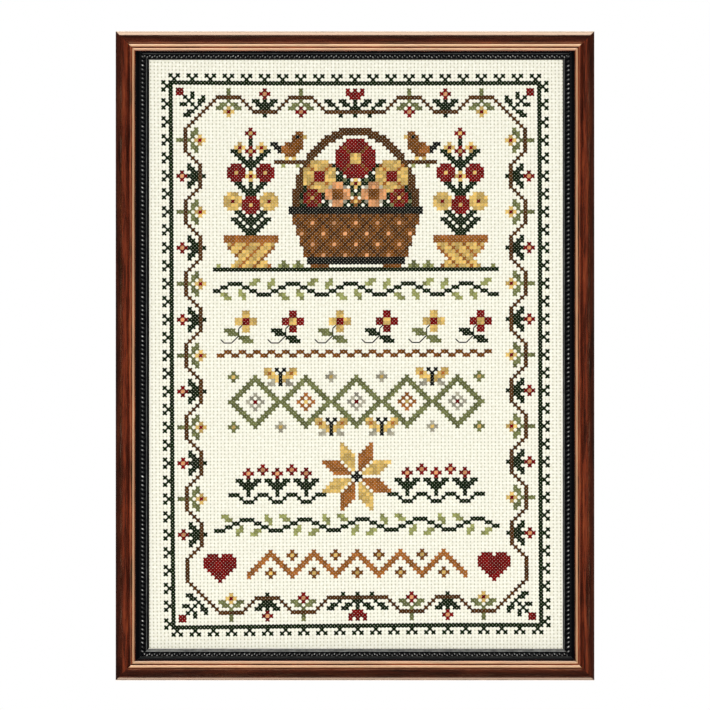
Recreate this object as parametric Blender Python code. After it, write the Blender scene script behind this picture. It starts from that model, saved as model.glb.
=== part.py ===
"""Framed cross stitch sampler: evenweave cloth stretched flat over a board, in a moulded wooden frame with a slip.

Metres, +Z up. The picture faces -Y and its back lies in the plane y = 0, against the wall.
The origin is on the back of the frame's top length, half way along it, where the frame bears on the wall.
"""

import math

import bmesh
import bpy
from mathutils import Vector

# Outside of the frame
FRAME_WIDTH = 0.2400
FRAME_HEIGHT = 0.3255
FRAME_DEPTH = 0.0190

# Frame moulding, measured across its face from the outer side to the sight edge
MOULDING_WIDTH = 0.0096
OUTER_WALL = 0.0039
OUTER_ROUND = 0.0023
SCOOP_START = 0.0029
SCOOP_END = 0.0061
SCOOP_HOLLOW = 0.0008
SCOOP_FOOT_DROP = 0.0037
REED_RADIUS = 0.00065
REED_HEIGHT = 0.0156
LIP_RADIUS = 0.00070
LIP_HEIGHT = 0.0149
GROOVE_HEIGHT = 0.0148

# Slip, measured across its face from its outer side to its sight edge
SLIP_SIGHT_WIDTH = 0.2087
SLIP_SIGHT_HEIGHT = 0.2966
SLIP_WIDTH = 0.0097
SLIP_SEAT_HEIGHT = 0.0047
SLIP_COVE_START = 0.0040
SLIP_COVE_END = 0.0053
SLIP_COVE_HOLLOW = 0.0002
SLIP_LAND_HEIGHT = 0.0039
SLIP_FILLET_CENTRE = 0.0057
SLIP_ROPE_CENTRE = 0.0072
SLIP_ROPE_RADIUS = 0.0008
SLIP_EDGE_CENTRE = 0.0087
SLIP_FILLET_RADIUS = 0.00025
SLIP_BEVEL_START = 0.0091
SLIP_BEVEL_FOOT = 0.0026
SLIP_SHIFT_ACROSS = 0.0004
SLIP_SHIFT_UP = 0.0008

# What lies in the rebate, from the back forwards
BACK_RECESS = 0.0020
BOARD_THICKNESS = 0.0030
CLOTH_THICKNESS = 0.0012
SEAT_GAP = 0.0003
MITRE_GAP = 0.0003
CLOTH_WIDTH = 0.2260
CLOTH_HEIGHT = 0.3110
CLOTH_STEPS_ACROSS = 6
CLOTH_STEPS_UP = 8

# How far the stretched cloth is pulled out of square at each corner: across, up
CORNER_PULL = {
    "top_left": (-0.0008, 0.0000),
    "top_right": (-0.0006, 0.0000),
    "bottom_left": (0.0007, -0.0007),
    "bottom_right": (0.0007, 0.0007),
}

BOARD_BACK = BACK_RECESS
CLOTH_BACK = BOARD_BACK + BOARD_THICKNESS + SEAT_GAP
SLIP_BACK = CLOTH_BACK + CLOTH_THICKNESS + SEAT_GAP
REBATE_DEPTH = SLIP_BACK + SLIP_SEAT_HEIGHT + SEAT_GAP

# The backing board fills the rebate from wall to wall
BOARD_WIDTH = FRAME_WIDTH - 2 * (OUTER_WALL + SEAT_GAP)
BOARD_HEIGHT = FRAME_HEIGHT - 2 * (OUTER_WALL + SEAT_GAP)

# The middle of the picture, below the middle of the top length's back land
CENTRE_DROP = FRAME_HEIGHT / 2 - OUTER_WALL / 2

SIDES = ("top", "right", "bottom", "left")
ARC_STEPS = 8


def clear_scene():
    """Remove whatever the file holds, so that only the sampler is built."""
    for old in list(bpy.data.objects):
        bpy.data.objects.remove(old, do_unlink=True)


def make_material(name, colour, roughness, metallic=0.0):
    """A plain Principled finish."""
    material = bpy.data.materials.new(name)
    material.use_nodes = True
    shader = material.node_tree.nodes["Principled BSDF"]
    shader.inputs["Base Color"].default_value = (*colour, 1.0)
    shader.inputs["Roughness"].default_value = roughness
    shader.inputs["Metallic"].default_value = metallic
    return material


def arc(centre, radius, start, end, steps=ARC_STEPS):
    """Points on a circle from one angle to another, in degrees, both ends included."""
    angles = [math.radians(start + (end - start) * i / steps) for i in range(steps + 1)]
    return [(centre[0] + radius * math.cos(a), centre[1] + radius * math.sin(a)) for a in angles]


def hollow(start, end, sag, steps=ARC_STEPS):
    """Points on a shallow arc between two points, sagging below the straight line by sag."""
    first, last = Vector(start), Vector(end)
    chord = last - first
    down = Vector((chord.y, -chord.x)).normalized()
    shares = [i / steps for i in range(steps + 1)]
    points = [first + chord * s + down * (sag * 4 * s * (1 - s)) for s in shares]
    return [(p.x, p.y) for p in points]


def moulding_section():
    """Section of the frame: across from the outer side, and forward from the wall."""
    crest = FRAME_DEPTH
    outer_round = arc((OUTER_ROUND, crest - OUTER_ROUND), OUTER_ROUND, 180, 90)
    scoop = hollow((SCOOP_START, crest - 0.0001), (SCOOP_END, crest - SCOOP_FOOT_DROP), SCOOP_HOLLOW)
    reed = arc((SCOOP_END + REED_RADIUS, REED_HEIGHT), REED_RADIUS, 180, 0)
    lip = arc((MOULDING_WIDTH - LIP_RADIUS, LIP_HEIGHT), LIP_RADIUS, 180, 0)
    groove = [
        (SCOOP_END + 2 * REED_RADIUS, GROOVE_HEIGHT),
        (MOULDING_WIDTH - 2 * LIP_RADIUS, GROOVE_HEIGHT),
    ]
    rebate = [
        (MOULDING_WIDTH, REBATE_DEPTH),
        (OUTER_WALL, REBATE_DEPTH),
        (OUTER_WALL, 0.0),
    ]
    return [(0.0, 0.0), *outer_round, *scoop, *reed, *groove, *lip[1:], *rebate]


def slip_section():
    """Section of the slip: across from its outer side, and forward from its back."""
    land = SLIP_LAND_HEIGHT
    cove = hollow((SLIP_COVE_START, SLIP_SEAT_HEIGHT), (SLIP_COVE_END, land), SLIP_COVE_HOLLOW, 4)
    ridges = []
    for centre, radius in (
        (SLIP_FILLET_CENTRE, SLIP_FILLET_RADIUS),
        (SLIP_ROPE_CENTRE, SLIP_ROPE_RADIUS),
        (SLIP_EDGE_CENTRE, SLIP_FILLET_RADIUS),
    ):
        ridges += arc((centre, land), radius, 180, 0)
    edge = [
        (SLIP_BEVEL_START, land),
        (SLIP_WIDTH, SLIP_BEVEL_FOOT),
        (SLIP_WIDTH, 0.0),
    ]
    return [(0.0, 0.0), (0.0, SLIP_SEAT_HEIGHT), *cove, *ridges, *edge]


def mitred_length(section, length, reach):
    """A mesh of one mitred length along X, with its outer side at z = reach and its back at y = 0."""
    mesh = bmesh.new()
    start = [mesh.verts.new((-length / 2, -forward, reach - across)) for across, forward in section]
    face = mesh.faces.new(start)
    grown = bmesh.ops.extrude_face_region(mesh, geom=[face])
    moved = [v for v in grown["geom"] if isinstance(v, bmesh.types.BMVert)]
    bmesh.ops.translate(mesh, verts=moved, vec=(length, 0, 0))
    for end in (-1, 1):
        outward = Vector((end, 0, -1)).normalized()
        corner = Vector((end * length / 2, 0, reach)) - outward * (MITRE_GAP / 2)
        everything = [*mesh.verts, *mesh.edges, *mesh.faces]
        bmesh.ops.bisect_plane(mesh, geom=everything, plane_co=corner, plane_no=outward, clear_outer=True)
        open_edges = [e for e in mesh.edges if e.is_boundary]
        bmesh.ops.holes_fill(mesh, edges=open_edges, sides=0)
    bmesh.ops.recalc_face_normals(mesh, faces=mesh.faces)
    return mesh


def add_object(name, mesh, material, collection, parent, location=(0, 0, 0), turn=0.0):
    """Put a bmesh in the collection under its parent, turned about the picture's own axis."""
    data = bpy.data.meshes.new(name)
    mesh.to_mesh(data)
    mesh.free()
    data.materials.append(material)
    made = bpy.data.objects.new(name, data)
    collection.objects.link(made)
    made.parent = parent
    made.location = location
    made.rotation_euler = (0.0, turn, 0.0)
    return made


def add_mitred_frame(prefix, section, width, height, material, collection, parent, location):
    """Four mitred lengths round a rectangle, each its own object."""
    for i, side in enumerate(SIDES):
        length, reach = (width, height / 2) if side in ("top", "bottom") else (height, width / 2)
        mesh = mitred_length(section, length, reach)
        add_object(f"{prefix}_{side}", mesh, material, collection, parent, location, math.radians(90 * i))


def pulled(across, up):
    """Where a point of the cloth lies once its corners are pulled, by its share of the way to each."""
    right = across / CLOTH_WIDTH + 0.5
    high = up / CLOTH_HEIGHT + 0.5
    shares = {
        "top_left": (1 - right) * high,
        "top_right": right * high,
        "bottom_left": (1 - right) * (1 - high),
        "bottom_right": right * (1 - high),
    }
    shift = Vector((0.0, 0.0))
    for corner, share in shares.items():
        shift += Vector(CORNER_PULL[corner]) * share
    return across + shift.x, up + shift.y


def cloth_sheet():
    """The stretched cloth as one flat closed sheet, with its back at y = 0."""
    mesh = bmesh.new()
    bmesh.ops.create_grid(mesh, x_segments=CLOTH_STEPS_ACROSS, y_segments=CLOTH_STEPS_UP, size=0.5)
    for v in mesh.verts:
        across, up = pulled(v.co.x * CLOTH_WIDTH, v.co.y * CLOTH_HEIGHT)
        v.co = Vector((across, 0.0, up))
    grown = bmesh.ops.extrude_face_region(mesh, geom=mesh.faces[:])
    moved = [v for v in grown["geom"] if isinstance(v, bmesh.types.BMVert)]
    bmesh.ops.translate(mesh, verts=moved, vec=(0, -CLOTH_THICKNESS, 0))
    bmesh.ops.recalc_face_normals(mesh, faces=mesh.faces)
    return mesh


def board_panel():
    """The backing board as a box, with its back at y = 0."""
    mesh = bmesh.new()
    bmesh.ops.create_cube(mesh, size=1.0)
    bmesh.ops.scale(mesh, verts=mesh.verts, vec=(BOARD_WIDTH, BOARD_THICKNESS, BOARD_HEIGHT))
    bmesh.ops.translate(mesh, verts=mesh.verts, vec=(0, -BOARD_THICKNESS / 2, 0))
    return mesh


def build():
    clear_scene()
    collection = bpy.data.collections.new("framed_cross_stitch_sampler")
    bpy.context.scene.collection.children.link(collection)
    centre = bpy.data.objects.new("picture_centre", None)
    centre.location = (0.0, 0.0, -CENTRE_DROP)
    collection.objects.link(centre)

    stained_wood = make_material("stained_wood", (0.20, 0.060, 0.030), 0.30)
    black_lacquer = make_material("black_lacquer", (0.012, 0.014, 0.015), 0.35)
    cream_cloth = make_material("cream_cloth", (0.90, 0.87, 0.76), 0.90)
    grey_board = make_material("grey_board", (0.45, 0.36, 0.26), 0.85)

    add_mitred_frame(
        "frame", moulding_section(), FRAME_WIDTH, FRAME_HEIGHT, stained_wood, collection, centre, (0, 0, 0)
    )
    slip_place = (SLIP_SHIFT_ACROSS, -SLIP_BACK, SLIP_SHIFT_UP)
    add_mitred_frame(
        "slip",
        slip_section(),
        SLIP_SIGHT_WIDTH + 2 * SLIP_WIDTH,
        SLIP_SIGHT_HEIGHT + 2 * SLIP_WIDTH,
        black_lacquer,
        collection,
        centre,
        slip_place,
    )
    cloth_place = (SLIP_SHIFT_ACROSS, -CLOTH_BACK, SLIP_SHIFT_UP)
    add_object("sampler_cloth", cloth_sheet(), cream_cloth, collection, centre, cloth_place)
    add_object("backing_board", board_panel(), grey_board, collection, centre, (0, -BOARD_BACK, 0))


build()
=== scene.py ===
# %% [markdown]
# # A framed cross stitch sampler
# This lesson dresses a plain solid model of a framed sampler: four lengths of stained moulding,
# a black beaded slip, a stretched sheet of block cloth, several thousand cross stitches, and the
# board behind them. Each piece is worked out from a few measured sizes and from the boxes of the
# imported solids, so nothing is fitted by eye.

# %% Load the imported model
import math
import random

import bmesh
import bpy
from mathutils import Matrix, Vector


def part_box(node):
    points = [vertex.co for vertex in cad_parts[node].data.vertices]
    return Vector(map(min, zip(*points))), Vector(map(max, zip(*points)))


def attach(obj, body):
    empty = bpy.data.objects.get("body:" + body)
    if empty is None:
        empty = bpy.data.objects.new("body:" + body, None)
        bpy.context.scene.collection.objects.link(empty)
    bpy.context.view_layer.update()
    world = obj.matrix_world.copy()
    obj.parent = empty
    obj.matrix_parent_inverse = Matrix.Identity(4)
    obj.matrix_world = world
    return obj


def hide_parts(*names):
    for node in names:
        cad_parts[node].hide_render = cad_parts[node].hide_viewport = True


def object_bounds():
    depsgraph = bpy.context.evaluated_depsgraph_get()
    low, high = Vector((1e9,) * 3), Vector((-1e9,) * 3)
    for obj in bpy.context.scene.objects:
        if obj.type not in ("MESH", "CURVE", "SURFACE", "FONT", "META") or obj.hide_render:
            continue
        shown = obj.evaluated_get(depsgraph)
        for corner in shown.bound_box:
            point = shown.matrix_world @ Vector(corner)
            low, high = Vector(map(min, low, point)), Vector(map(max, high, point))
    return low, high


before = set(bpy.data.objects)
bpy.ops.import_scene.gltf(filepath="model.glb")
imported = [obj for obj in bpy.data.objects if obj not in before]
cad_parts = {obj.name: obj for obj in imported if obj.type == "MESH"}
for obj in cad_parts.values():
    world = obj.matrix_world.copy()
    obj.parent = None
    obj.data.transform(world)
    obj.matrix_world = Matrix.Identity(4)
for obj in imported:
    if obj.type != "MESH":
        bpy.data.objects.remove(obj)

cad_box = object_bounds()
print("solids:", ", ".join(sorted(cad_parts)))

# %% [markdown]
# ## Where things are
# The picture hangs upright with its back on the wall, the plane y = 0, and faces -Y. Every
# distance forward from the wall is therefore a negative y. The middle of the frame is the middle
# of its box, and the other pieces are measured from there.

# %% Measure the solids
box_low, box_high = (Vector(corner) for corner in cad_box)
CENTRE = Vector(((box_low.x + box_high.x) / 2, 0.0, (box_low.z + box_high.z) / 2))
FRAME_WIDTH = box_high.x - box_low.x
FRAME_HEIGHT = box_high.z - box_low.z
FRAME_DEPTH = -box_low.y


def node_size(node):
    """How wide, deep and tall one solid's box is."""
    low, high = (Vector(corner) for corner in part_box(node))
    return high - low


def node_front(node):
    """How far forward of the wall a solid reaches."""
    return -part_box(node)[0][1]


CLOTH_FRONT = node_front("sampler_cloth")
print(f"frame {FRAME_WIDTH * 1000:.1f} x {FRAME_HEIGHT * 1000:.1f} mm")
print(f"cloth {CLOTH_FRONT * 1000:.1f} mm forward of the wall")

# %% [markdown]
# ## The camera
# The photograph looks at the picture square on and from far away, because neither the outer
# sides of the frame nor the inner walls of its rebate show. A long lens gives that flat look. Its
# distance follows from the width that the photograph spans where the frame's outline is.

# %% Place the camera
LENS = 150.0
SENSOR = 36.0
PHOTO_SPAN = 0.3563
FARTHEST_SEEN = 20.0
OUTLINE_PLANE = 0.0167
CAMERA_RISE = 0.0004

camera_data = bpy.data.cameras.new("camera")
camera_data.lens = LENS
camera_data.sensor_width = SENSOR
camera_data.clip_end = FARTHEST_SEEN
camera = bpy.data.objects.new("camera", camera_data)
camera.location = CENTRE + Vector((0.0, -OUTLINE_PLANE - PHOTO_SPAN * LENS / SENSOR, CAMERA_RISE))
camera.rotation_euler = (math.radians(90), 0.0, 0.0)
bpy.context.collection.objects.link(camera)
bpy.context.scene.camera = camera
print(f"camera {-camera.location.y:.2f} m in front of the wall")

# %% [markdown]
# ## Light
# The picture is shown on pure white, so the world is white where the camera looks past the
# frame, and almost dark as a source of light, which keeps the blacks black. The cloth is lit evenly,
# with no shadow from the frame, so the main lamp stands straight behind the camera. It is kept out
# of reflections, or the flat black slip would mirror it. The reeds shine along the top and bottom
# but not along the sides, and the shine sits a little above the middle of each reed. That puts a
# broad panel above, from about 25 to 70 degrees up, a narrower one below, and one over and one
# under the picture for its outer corners. These four are seen only in reflections. Two lamps stand
# behind, so that the back and the sides can be seen too.

# %% Set up the world, the lamps and the floor
WORLD_FILL = 0.03
WARM_WHITE = (1.0, 0.993, 0.955)

scene = bpy.context.scene
scene.view_settings.view_transform = "Standard"
world = bpy.data.worlds.new("white_studio")
world.use_nodes = True
scene.world = world
sky, sky_links = world.node_tree.nodes, world.node_tree.links
sky.clear()
seen = sky.new("ShaderNodeBackground")
seen.inputs["Strength"].default_value = 1.0
seen.inputs["Color"].default_value = (1.0, 1.0, 1.0, 1.0)
lighting = sky.new("ShaderNodeBackground")
lighting.inputs["Strength"].default_value = WORLD_FILL
lighting.inputs["Color"].default_value = (1.0, 0.99, 0.97, 1.0)
ray = sky.new("ShaderNodeLightPath")
blend = sky.new("ShaderNodeMixShader")
sky_out = sky.new("ShaderNodeOutputWorld")
sky_links.new(ray.outputs["Is Camera Ray"], blend.inputs["Fac"])
sky_links.new(lighting.outputs["Background"], blend.inputs[1])
sky_links.new(seen.outputs["Background"], blend.inputs[2])
sky_links.new(blend.outputs["Shader"], sky_out.inputs["Surface"])


def soft_lamp(name, place, size, watts, reflected):
    """A soft rectangular lamp that faces the picture, and is seen either only in reflections or never."""
    data = bpy.data.lights.new(name, "AREA")
    data.shape = "RECTANGLE"
    data.size, data.size_y = size
    data.energy = watts
    data.color = WARM_WHITE
    lamp = bpy.data.objects.new(name, data)
    lamp.visible_camera = False
    lamp.visible_glossy = reflected
    lamp.visible_diffuse = not reflected
    lamp.location = CENTRE + Vector(place)
    lamp.rotation_euler = (-Vector(place)).to_track_quat("-Z", "Y").to_euler()
    bpy.context.collection.objects.link(lamp)


for lamp_row in (
    ("lamp_front", (0.0, -1.90, 0.0), (0.30, 0.30), 34.0, False),
    ("panel_above", (0.0, -0.94, 1.04), (1.00, 1.25), 18.0, True),
    ("panel_below", (0.0, -0.50, -0.80), (0.80, 0.46), 3.0, True),
    ("panel_over", (0.0, 0.30, 0.95), (1.00, 0.50), 15.0, True),
    ("panel_under", (0.0, 0.30, -0.95), (1.00, 0.50), 12.0, True),
    ("lamp_behind_left", (-1.20, 0.90, 0.50), (0.80, 0.80), 18.0, False),
    ("lamp_behind_right", (1.20, 0.90, 0.50), (0.80, 0.80), 18.0, False),
):
    soft_lamp(*lamp_row)

FLOOR_DROP = 1.0
FLOOR_HALF = 1.6
floor_mesh = bmesh.new()
bmesh.ops.create_grid(floor_mesh, x_segments=1, y_segments=1, size=FLOOR_HALF)
bmesh.ops.translate(floor_mesh, verts=floor_mesh.verts, vec=CENTRE - Vector((0.0, 0.0, FLOOR_DROP)))
floor_data = bpy.data.meshes.new("floor")
floor_mesh.to_mesh(floor_data)
floor_mesh.free()
floor = bpy.data.objects.new("floor", floor_data)
bpy.context.collection.objects.link(floor)
floor.visible_glossy = False
pale = bpy.data.materials.new("pale_floor")
pale.use_nodes = True
pale_shader = pale.node_tree.nodes["Principled BSDF"]
pale_shader.inputs["Base Color"].default_value = (0.80, 0.80, 0.78, 1.0)
pale_shader.inputs["Roughness"].default_value = 0.9
floor_data.materials.append(pale)
print("lamps and floor placed")

# %% [markdown]
# ## Finishes, and how they are written
# Each finish is a few nodes round one Principled shader. Short helpers keep them readable: one
# starts a material, one adds any node and fills in its sockets, and the others add the nodes that
# come up again and again. Numbers that hold for the whole surface go straight on the shader.

# %% Helpers for materials


def start_finish(name, roughness, metallic=0.0):
    """A material with its Principled shader, ready for nodes."""
    material = bpy.data.materials.new(name)
    material.use_nodes = True
    shader = material.node_tree.nodes["Principled BSDF"]
    shader.inputs["Roughness"].default_value = roughness
    shader.inputs["Metallic"].default_value = metallic
    return material, shader


def add_node(material, kind, settings=None, **sockets):
    """Add a node; a socket is given a value, or another node's output to be linked to."""
    node = material.node_tree.nodes.new(kind)
    for key, value in (settings or {}).items():
        setattr(node, key, value)
    for key, value in sockets.items():
        socket = node.inputs[int(key[1:])] if key[0] == "i" and key[1:].isdigit() else node.inputs[key]
        if isinstance(value, bpy.types.NodeSocket):
            material.node_tree.links.new(value, socket)
        else:
            socket.default_value = value
    return node


def colour_ramp(material, factor, stops):
    """A colour ramp from stops of (place, linear colour)."""
    node = add_node(material, "ShaderNodeValToRGB", Fac=factor)
    ramp = node.color_ramp
    while len(ramp.elements) < len(stops):
        ramp.elements.new(0.5)
    for element, (place, colour) in zip(ramp.elements, stops):
        element.position = place
        element.color = (*colour, 1.0)
    return node.outputs["Color"]


def maths(material, operation, first, second=0.0, third=0.0):
    """One Math node's output."""
    settings = {"operation": operation}
    return add_node(material, "ShaderNodeMath", settings, i0=first, i1=second, i2=third).outputs[0]


def stored(material, name, output="Fac"):
    """What an attribute of the mesh says."""
    return add_node(material, "ShaderNodeAttribute", {"attribute_name": name}).outputs[output]


def object_place(material):
    """Where a point lies on its piece."""
    return add_node(material, "ShaderNodeTexCoord").outputs["Object"]


def noise(material, place, scale, detail, roughness=0.5, axes=None):
    """Soft noise; axes of unlike scales draw it out into streaks."""
    if axes:
        place = add_node(material, "ShaderNodeMapping", Vector=place, Scale=axes).outputs[0]
    settings = {"Vector": place, "Scale": scale, "Detail": detail, "Roughness": roughness}
    return add_node(material, "ShaderNodeTexNoise", **settings).outputs["Fac"]


def feed(shader, name, value):
    """Let a worked out value decide one of the shader's sockets."""
    shader.id_data.links.new(value, shader.inputs[name])


def linear(red, green, blue):
    """A colour read off a screen, 0 to 255, as the linear values that a shader wants."""
    parts = [value / 255 for value in (red, green, blue)]
    return tuple(p / 12.92 if p <= 0.04045 else ((p + 0.055) / 1.055) ** 2.4 for p in parts)


def colour_mix(material, factor, first, second, kind="MIX"):
    """One colour laid over another; a plain colour may stand for either."""
    settings = {"data_type": "RGBA", "blend_type": kind}
    whole = [c if isinstance(c, bpy.types.NodeSocket) else (*c, 1.0) for c in (first, second)]
    return add_node(material, "ShaderNodeMix", settings, i0=factor, i6=whole[0], i7=whole[1]).outputs[2]


def raise_surface(material, shader, height, strength, distance):
    """Turn a height into bump on the shader."""
    bump = add_node(material, "ShaderNodeBump", Strength=strength, Distance=distance, Height=height)
    feed(shader, "Normal", bump.outputs["Normal"])


print("material helpers ready")

# %% [markdown]
# ## Pieces, and how they are finished off
# Every finished piece sits at the origin, unturned, with its place in its mesh. It rides on the
# sampler's one body, takes its material, and may stand for a plain solid. One helper does
# this, and another shades the piece smooth up to a given angle, so that reeds look round while
# the arrises between them stay crisp.

# %% Helpers for pieces


def put_in_place(name, data, material, replaces=()):
    """Make a piece of a finished mesh: it rides on the one body and may stand for plain solids."""
    data.materials.append(material)
    piece = bpy.data.objects.new(name, data)
    bpy.context.collection.objects.link(piece)
    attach(piece, "root")
    for node in replaces:
        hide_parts(node)
    return piece


def finish_piece(name, mesh, material, replaces=(), crisp=35.0):
    """Turn a bmesh into a finished piece of the sampler."""
    data = bpy.data.meshes.new(name)
    mesh.to_mesh(data)
    mesh.free()
    data.shade_smooth()
    data.set_sharp_from_angle(angle=math.radians(crisp))
    return put_in_place(name, data, material, replaces)


def moved_verts(grown):
    """The new vertices in the result of an extrusion."""
    return [v for v in grown["geom"] if isinstance(v, bmesh.types.BMVert)]


def open_rim(mesh):
    """The edges round a mesh's openings."""
    return [e for e in mesh.edges if e.is_boundary]


def close_up(mesh, sides=0):
    """Fill a mesh's openings and turn all its faces outwards."""
    bmesh.ops.holes_fill(mesh, edges=open_rim(mesh), sides=sides)
    bmesh.ops.recalc_face_normals(mesh, faces=mesh.faces)


print("piece helpers ready")

# %% [markdown]
# ## Stained wood
# The moulding is a close-grained wood under a red-brown stain and a gloss varnish. The stain
# gathers in long dark streaks. The lip is rubbed thin to a pale gold, and on the level lengths
# the pale gold is brighter and spreads to the reed as a painted highlight. The grain must follow
# each length, level or upright, so the length carries its own coordinates in an attribute: along,
# forward and across. Four more attributes say where the pale gold goes, where painted shade darkens
# the shoulders, the level scoops and the hollows, where the varnish is only satin, on the shoulders
# of the level lengths, and where the wood was left raw, at the back.

# %% Make the stained wood
GLOSS_ROUGHNESS = 0.09
SATIN_ROUGHNESS = 0.22
VARNISH_IOR = 1.9
VARNISH_TINT = (1.0, 0.76, 0.58, 1.0)
STREAK_AXES = (38.0, 520.0, 520.0)
PORE_AXES = (160.0, 3200.0, 3200.0)
STAIN_TONES = ((0.35, (52, 18, 11)), (0.46, (110, 46, 29)), (0.57, (140, 61, 37)), (0.68, (170, 86, 51)))
RUBBED_AND_HIGHLIGHT_TONE = linear(236, 190, 146)
PAINTED_SHADE_TONE = linear(30, 9, 6)
RAW_TONE = linear(186, 150, 108)

stained_wood, wood_shader = start_finish("stained_wood", GLOSS_ROUGHNESS)
grain_place = stored(stained_wood, "grain_place", "Vector")
streaks = noise(stained_wood, grain_place, 1.0, 5.0, 0.62, STREAK_AXES)
stain = colour_ramp(stained_wood, streaks, [(place, linear(*tone)) for place, tone in STAIN_TONES])
pores = noise(stained_wood, grain_place, 1.0, 2.0, axes=PORE_AXES)
pore_tone = colour_ramp(stained_wood, pores, [(0.36, (0.55, 0.50, 0.50)), (0.50, (1.0, 1.0, 1.0))])
stain = colour_mix(stained_wood, 0.70, stain, pore_tone, "MULTIPLY")
patchy = maths(stained_wood, "MULTIPLY_ADD", streaks, 0.5, 0.68)
rubbed_and_highlight = maths(stained_wood, "MULTIPLY", stored(stained_wood, "rubbed_and_highlight"), patchy)
# Pale gold: rubbed stain on the lip, and a painted highlight on the reeds and lips of the level lengths.
stain = colour_mix(stained_wood, rubbed_and_highlight, stain, RUBBED_AND_HIGHLIGHT_TONE)
# Painted shade: this darkens the stain on the shoulders, down the level scoops and in the hollows by the
# reeds.
stain = colour_mix(stained_wood, stored(stained_wood, "painted_shade"), stain, PAINTED_SHADE_TONE)
raw_wood = colour_mix(stained_wood, 0.5, RAW_TONE, pore_tone, "MULTIPLY")
stain = colour_mix(stained_wood, stored(stained_wood, "raw"), stain, raw_wood)
feed(wood_shader, "Base Color", stain)
satin = stored(stained_wood, "satin")
gloss_lost = SATIN_ROUGHNESS - GLOSS_ROUGHNESS
feed(wood_shader, "Roughness", maths(stained_wood, "MULTIPLY_ADD", satin, gloss_lost, GLOSS_ROUGHNESS))
wood_shader.inputs["IOR"].default_value = VARNISH_IOR
wood_shader.inputs["Specular IOR Level"].default_value = 1.0
wood_shader.inputs["Specular Tint"].default_value = VARNISH_TINT
raise_surface(stained_wood, wood_shader, pores, 0.06, 0.0002)
print("stained wood:", len(stained_wood.node_tree.nodes), "nodes")

# %% [markdown]
# ## The frame's moulding
# A moulding is one section drawn out straight and cut at 45 degrees. From the outer side inward
# this one has a broad shoulder that leans outward, a deep scoop, a reed, a fine groove and a second
# reed at the sight edge. Behind the reeds is the rebate that holds the picture. The section is
# drawn once, from arcs, then extruded along X and trimmed by two mitre planes.

# %% Draw the moulding's section
MOULDING_WIDTH = node_size("frame_top").z
OUTER_WALL = 0.0039
CORNER_ROUND = 0.00079
SHOULDER_TILT = 124.0
SHOULDER_CREST = 0.0023
SHOULDER_RADIUS = 0.0035
SCOOP_END = 0.00597
SCOOP_HOLLOW = 0.00006
SCOOP_FOOT_DROP = 0.0037
REED_RADIUS = 0.00078
REED_HEIGHT = 0.0155
LIP_RADIUS = 0.00078
LIP_HEIGHT = 0.0149
GROOVE_HEIGHT = 0.0148
REBATE_DEPTH = 0.0118
RAW_EDGE = 0.0003
JUST_PAST = 0.0001
ARC_STEPS = 14


def arc(across, forward, radius, start, end, steps=ARC_STEPS):
    """Points on a circle from one angle to another, in degrees."""
    turns = [math.radians(start + (end - start) * i / steps) for i in range(steps + 1)]
    return [(across + radius * math.cos(a), forward + radius * math.sin(a)) for a in turns]


def hollow(start, end, sag, steps=ARC_STEPS):
    """Points on a shallow arc that sags below the straight line between two points."""
    first, last = Vector(start), Vector(end)
    down = Vector((last.y - first.y, first.x - last.x)).normalized()
    shares = [i / steps for i in range(steps + 1)]
    return [tuple(first + (last - first) * s + down * (4 * sag * s * (1 - s))) for s in shares]


shoulder_edge = arc(SHOULDER_CREST, FRAME_DEPTH - SHOULDER_RADIUS, SHOULDER_RADIUS, SHOULDER_TILT, 90)[0]
corner_forward = shoulder_edge[1] - CORNER_ROUND * math.sin(math.radians(SHOULDER_TILT))
moulding_section = [
    (0.0, 0.0),
    (0.0, RAW_EDGE),
    *arc(CORNER_ROUND, corner_forward, CORNER_ROUND, 180, SHOULDER_TILT)[:-1],
    *arc(SHOULDER_CREST, FRAME_DEPTH - SHOULDER_RADIUS, SHOULDER_RADIUS, SHOULDER_TILT, 90),
    *hollow(
        (SHOULDER_CREST + JUST_PAST, FRAME_DEPTH), (SCOOP_END, FRAME_DEPTH - SCOOP_FOOT_DROP), SCOOP_HOLLOW
    ),
    *arc(SCOOP_END + REED_RADIUS, REED_HEIGHT, REED_RADIUS, 180, 0),
    (SCOOP_END + 2 * REED_RADIUS, GROOVE_HEIGHT),
    (MOULDING_WIDTH - 2 * LIP_RADIUS, GROOVE_HEIGHT),
    *arc(MOULDING_WIDTH - LIP_RADIUS, LIP_HEIGHT, LIP_RADIUS, 180, 0)[1:],
    (MOULDING_WIDTH, REBATE_DEPTH),
    (OUTER_WALL, REBATE_DEPTH),
    (OUTER_WALL, RAW_EDGE),
    (OUTER_WALL, 0.0),
]
print("moulding section:", len(moulding_section), "points")

# %% Draw out and mitre a length
SIDES = ("top", "right", "bottom", "left")
MITRE_GAP = 0.00006


def mitred_length(section, length, reach):
    """One mitred length along X, with its outer side at z = reach and its back at y = 0."""
    mesh = bmesh.new()
    start = [mesh.verts.new((-length / 2, -forward, reach - across)) for across, forward in section]
    grown = bmesh.ops.extrude_face_region(mesh, geom=[mesh.faces.new(start)])
    bmesh.ops.translate(mesh, verts=moved_verts(grown), vec=(length, 0, 0))
    for end in (-1, 1):
        outward = Vector((end, 0, -1)).normalized()
        corner = Vector((end * length / 2, 0, reach)) - outward * (MITRE_GAP / 2)
        everything = [*mesh.verts, *mesh.edges, *mesh.faces]
        bmesh.ops.bisect_plane(mesh, geom=everything, plane_co=corner, plane_no=outward, clear_outer=True)
        close_up(mesh)
    return mesh


def mark(mesh, name, value_of):
    """Store a number at each vertex, worked out from the vertex's place across and forward."""
    layer = mesh.verts.layers.float.new(name)
    reach = max(v.co.z for v in mesh.verts)
    for v in mesh.verts:
        v[layer] = float(value_of(reach - v.co.z, -v.co.y))


def carry_grain(mesh, shift):
    """Store where each vertex lies in its own length of wood, shifted so that no two lengths match."""
    layer = mesh.verts.layers.float_vector.new("grain_place")
    for v in mesh.verts:
        v[layer] = v.co + Vector((shift, 0.0, shift / 7))


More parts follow.
